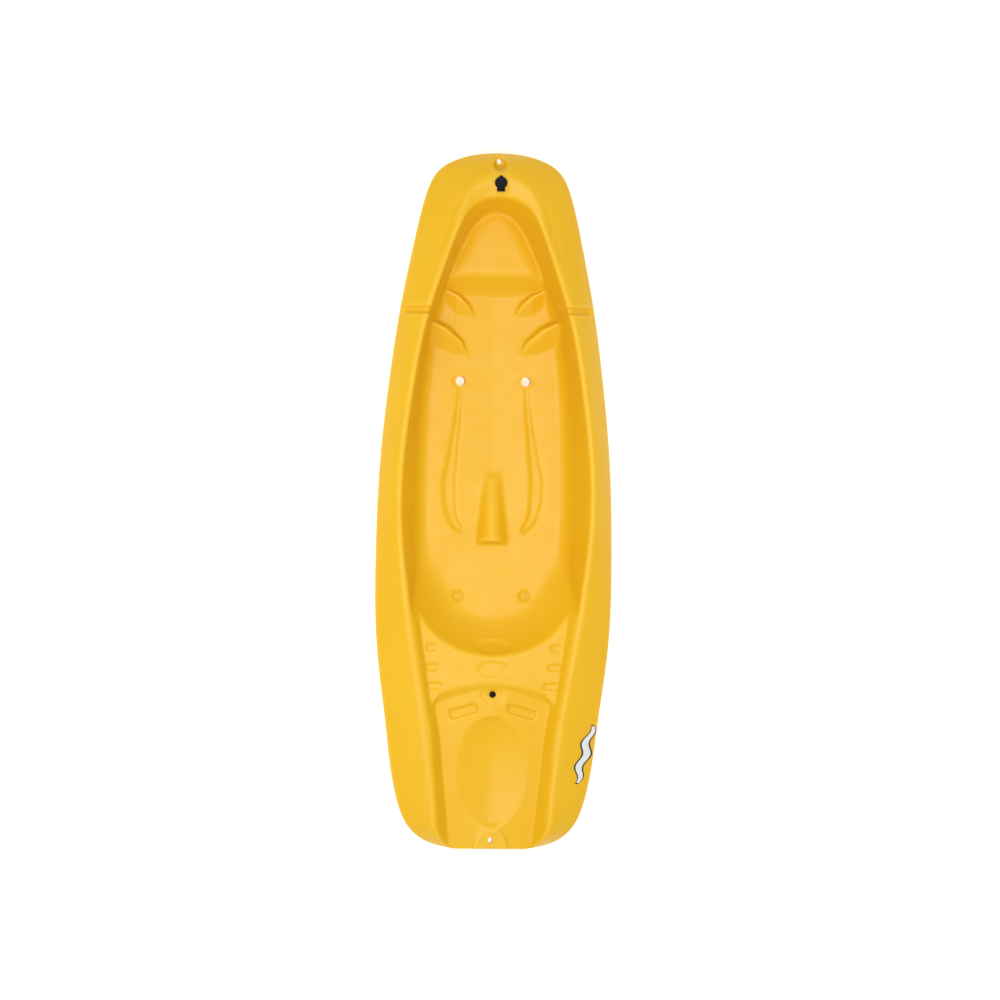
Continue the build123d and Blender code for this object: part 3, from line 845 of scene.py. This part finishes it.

# %% [markdown]
# ## Yellow polyethylene
#
# Vacuum-formed polyethylene has a satin skin: a fine orange-peel texture, slow
# patches of slightly different gloss, and a warm yellow that goes deeper in thick places. Noise
# at three sizes drives those through the shader, in Object coordinates so that the pattern
# stays with the boat. Pointiness finds the edges, which are painted a little paler: partly
# rubbed wear, partly a painted highlight along the crests. The hull
# gets more scuffs, drawn long because a boat is dragged along its keels.

# %% Node helpers
def new_material(name, roughness, **sockets):
    """Material with a Principled shader; constants go on the shader's own sockets."""
    mat = bpy.data.materials.new(name)
    mat.use_nodes = True
    shader = mat.node_tree.nodes["Principled BSDF"]
    shader.inputs["Roughness"].default_value = roughness
    for key, value in sockets.items():
        shader.inputs[key.replace("_", " ")].default_value = value
    return mat, mat.node_tree, shader


def noise(tree, size, detail=3.0, stretch=(1, 1, 1)):
    """Noise whose blobs are about the given size in metres, stretched along the axes."""
    where = tree.nodes.new("ShaderNodeTexCoord")
    scale = tree.nodes.new("ShaderNodeMapping")
    scale.inputs["Scale"].default_value = [1 / (size * k) for k in stretch]
    tex = tree.nodes.new("ShaderNodeTexNoise")
    tex.inputs["Scale"].default_value = 1.0
    tex.inputs["Detail"].default_value = detail
    tree.links.new(where.outputs["Object"], scale.inputs["Vector"])
    tree.links.new(scale.outputs["Vector"], tex.inputs["Vector"])
    return tex.outputs["Fac"]


def ramp(tree, value, stops):
    """Colour ramp from (position, grey or colour) stops."""
    node = tree.nodes.new("ShaderNodeValToRGB")
    bar_ = node.color_ramp
    for k, (at, colour) in enumerate(stops):
        stop = bar_.elements[k] if k < 2 else bar_.elements.new(at)
        stop.position = at
        rgb = colour if isinstance(colour, tuple) else (colour,) * 3
        stop.color = (*rgb, 1)
    tree.links.new(value, node.inputs["Fac"])
    return node.outputs["Color"]


def mixed(tree, factor, a, b):
    """Blend of two colours; a and b may be sockets or plain colours."""
    node = tree.nodes.new("ShaderNodeMix")
    node.data_type = "RGBA"
    # sockets 0, 6 and 7 are the factor and the two colours
    for socket, value in ((node.inputs[0], factor), (node.inputs[6], a), (node.inputs[7], b)):
        if isinstance(value, bpy.types.NodeSocket):
            tree.links.new(value, socket)
        else:
            socket.default_value = value if isinstance(value, float) else (*value, 1)
    return node.outputs[2]


def bumped(tree, shader, layers):
    """Chain of Bump nodes from (height, strength, distance in metres) layers."""
    last = None
    for height, strength, distance in layers:
        node = tree.nodes.new("ShaderNodeBump")
        node.inputs["Strength"].default_value = strength
        node.inputs["Distance"].default_value = distance
        tree.links.new(height, node.inputs["Height"])
        if last is not None:
            tree.links.new(last, node.inputs["Normal"])
        last = node.outputs["Normal"]
    tree.links.new(last, shader.inputs["Normal"])


def edge_wear_and_highlight(tree, low, high):
    """0 on flat skin, 1 on convex edges."""
    point = tree.nodes.new("ShaderNodeNewGeometry").outputs["Pointiness"]
    return ramp(tree, point, [(low, 0.0), (high, 1.0)])


# %% Yellow sheet materials
def yellow_plastic(name, base, deep, scuffs):
    """Satin yellow polyethylene; scuffs is how strongly it is rubbed."""
    mat, tree, shader = new_material(name, 0.38, IOR=1.5, Specular_IOR_Level=0.27)
    patches = ramp(tree, noise(tree, 0.16, 2), [(0.30, 0.0), (0.72, 1.0)])
    skin = mixed(tree, patches, base, deep)
    # convex edges painted paler: partly rubbed wear, partly a painted highlight along the crests
    pale_edge_wear_and_highlight = tuple(min(0.9, c * 1.10 + 0.02) for c in base)
    skin = mixed(tree, edge_wear_and_highlight(tree, 0.507, 0.56), skin, pale_edge_wear_and_highlight)
    drag = noise(tree, 0.0022, 4, (1, 22, 1))
    lines = ramp(tree, drag, [(0.64, 0.0), (0.74, scuffs)])
    skin = mixed(tree, lines, skin, tuple(c * 0.5 + 0.36 for c in base))
    tree.links.new(skin, shader.inputs["Base Color"])
    gloss = ramp(tree, noise(tree, 0.05, 4), [(0.30, 0.27), (0.70, 0.40)])
    gloss = mixed(tree, lines, gloss, (0.62, 0.62, 0.62))
    tree.links.new(gloss, shader.inputs["Roughness"])
    bumped(tree, shader, [(noise(tree, 0.045, 1), 0.25, 0.0006),
                          (noise(tree, 0.0028, 2), 0.14, 0.0002),
                          (drag, 0.05 + 0.3 * scuffs, 0.0002)])
    return mat


deck_yellow = yellow_plastic("deck_yellow", (0.785, 0.450, 0.011), (0.775, 0.430, 0.009), 0.05)
hull_yellow = yellow_plastic("hull_yellow", (0.770, 0.440, 0.011), (0.740, 0.408, 0.010), 0.45)
for piece in (deck, scupper_sleeves, tow_sleeves):
    piece.data.materials.append(deck_yellow)
hull.data.materials.append(hull_yellow)
print("yellow materials:", deck_yellow.name, hull_yellow.name)

# %% [markdown]
# ## Black fittings, rubber, foam and vinyl
#
# The fittings are moulded black plastic with a fine spark-eroded grain and rims polished by
# fingers. The seals are duller rubber with a dusty bloom. The foam inside shows its closed
# beads, which a Voronoi pattern gives, and the sticker is smooth printed vinyl.

# %% Dark materials
def black_grain(name, grey, rough, grain, worn):
    """Dark moulded material: grain size in metres, grey of its rubbed edges."""
    mat, tree, shader = new_material(name, rough, Specular_IOR_Level=0.12)
    dust = ramp(tree, noise(tree, 0.009, 4), [(0.35, grey), (0.75, grey * 1.9)])
    tree.links.new(mixed(tree, edge_wear_and_highlight(tree, 0.53, 0.64), dust, (worn,) * 3),
                   shader.inputs["Base Color"])
    tree.links.new(ramp(tree, noise(tree, 0.004, 3), [(0.3, rough - 0.09), (0.7, rough + 0.09)]),
                   shader.inputs["Roughness"])
    bumped(tree, shader, [(noise(tree, grain, 2), 0.3, 0.00008)])
    return mat


moulded_black = black_grain("moulded_black", 0.004, 0.46, 0.0005, 0.02)
soft_rubber = black_grain("soft_rubber", 0.012, 0.72, 0.0009, 0.03)
pin_black = black_grain("pin_black", 0.008, 0.34, 0.0004, 0.05)
for piece in (bushing, lid, vent):
    piece.data.materials.append(moulded_black)
for node, mat in (("drain_gasket", soft_rubber), ("drain_bung", soft_rubber),
                  ("vent_seal", soft_rubber), ("drain_hinge_pin", pin_black)):
    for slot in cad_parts[node].material_slots:
        slot.material = mat

# %% Foam and vinyl
foam, tree, shader = new_material("bead_foam", 0.8)
beads = tree.nodes.new("ShaderNodeTexVoronoi")
beads.inputs["Scale"].default_value = 260
where = tree.nodes.new("ShaderNodeTexCoord")
tree.links.new(where.outputs["Object"], beads.inputs["Vector"])
tree.links.new(ramp(tree, beads.outputs["Distance"], [(0.0, (0.86, 0.86, 0.83)),
                                                     (0.8, (0.62, 0.62, 0.58))]),
               shader.inputs["Base Color"])
tree.links.new(ramp(tree, noise(tree, 0.02), [(0.3, 0.72), (0.7, 0.9)]),
               shader.inputs["Roughness"])
bumped(tree, shader, [(beads.outputs["Distance"], 0.6, 0.0008)])
bow_foam.data.materials.append(foam)
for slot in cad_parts["stern_foam_block"].material_slots:
    slot.material = foam


def vinyl(name, light, dark, rough):
    """Printed film with faint speckle in the ink and a slightly uneven gloss."""
    mat, tree, shader = new_material(name, rough)
    tree.links.new(ramp(tree, noise(tree, 0.004, 5), [(0.3, light), (0.75, dark)]),
                   shader.inputs["Base Color"])
    tree.links.new(ramp(tree, noise(tree, 0.01, 2), [(0.3, rough - 0.06), (0.7, rough + 0.08)]),
                   shader.inputs["Roughness"])
    bumped(tree, shader, [(noise(tree, 0.006, 1), 0.1, 0.0001)])
    return mat


sticker.data.materials.append(vinyl("silver_vinyl", 0.78, 0.66, 0.30))
sticker.data.materials.append(vinyl("border_vinyl", 0.010, 0.022, 0.34))
print("materials done:", len(bpy.data.materials))

# %% [markdown]
# ## Floor, light and camera
#
# The boat lies on white paper under one large soft light, a little to port, with even light
# from all round. A small lamp would draw hard shadows that hide the shallow presses, and a wholly
# even sky would flatten them, so most of the light is even and the rest comes from one side.
# A long lens from high above keeps the plan's proportions true.

# %% Floor, light and camera
PAPER_GLOW, AIR_STRENGTH = 0.45, 0.67


def soft_light(name, size, power, at, aim):
    data = bpy.data.lights.new(name, "AREA")
    data.shape = "RECTANGLE"
    data.size, data.size_y = size
    data.energy = power
    lamp = bpy.data.objects.new(name, data)
    lamp.location = at
    lamp.rotation_euler = (Vector(aim) - Vector(at)).to_track_quat("-Z", "Y").to_euler()
    scene.collection.objects.link(lamp)


floor_bm = bmesh.new()
bmesh.ops.create_grid(floor_bm, x_segments=8, y_segments=8, size=12)
bmesh.ops.translate(floor_bm, verts=floor_bm.verts[:], vec=(0, 0, -0.001))
floor = finished(floor_bm, "studio_floor")
paper, _, _ = new_material("studio_paper", 0.9, Base_Color=(0.9, 0.9, 0.9, 1),
                           Emission_Color=(1, 1, 1, 1), Emission_Strength=PAPER_GLOW)
floor.data.materials.append(paper)

world = bpy.data.worlds.new("studio_air")
scene.world = world
world.use_nodes = True
sky = world.node_tree.nodes["Background"]
sky.inputs["Color"].default_value = (1, 1, 1, 1)
sky.inputs["Strength"].default_value = AIR_STRENGTH
soft_light("overhead", (1.8, 3.0), 63, (-0.50, -0.15, 3.2), (0, 0, 0))

LENS, FRAME_WIDTH = 240.0, 2.633
ROLL, YAW = math.radians(-5.3), math.radians(0.68)
AIM = Vector((0.0145, 0.004, 0.13))
camera_data = bpy.data.cameras.new("overhead_camera")
camera_data.lens = LENS
camera_data.clip_end = 100
camera = bpy.data.objects.new("overhead_camera", camera_data)
scene.collection.objects.link(camera)
turn = Euler((0, ROLL, YAW))
distance = FRAME_WIDTH * LENS / camera_data.sensor_width
camera.rotation_euler = turn
camera.location = AIM + turn.to_matrix() @ Vector((0, 0, distance))
scene.camera = camera
print("camera", round(distance, 2), "m from its aim")
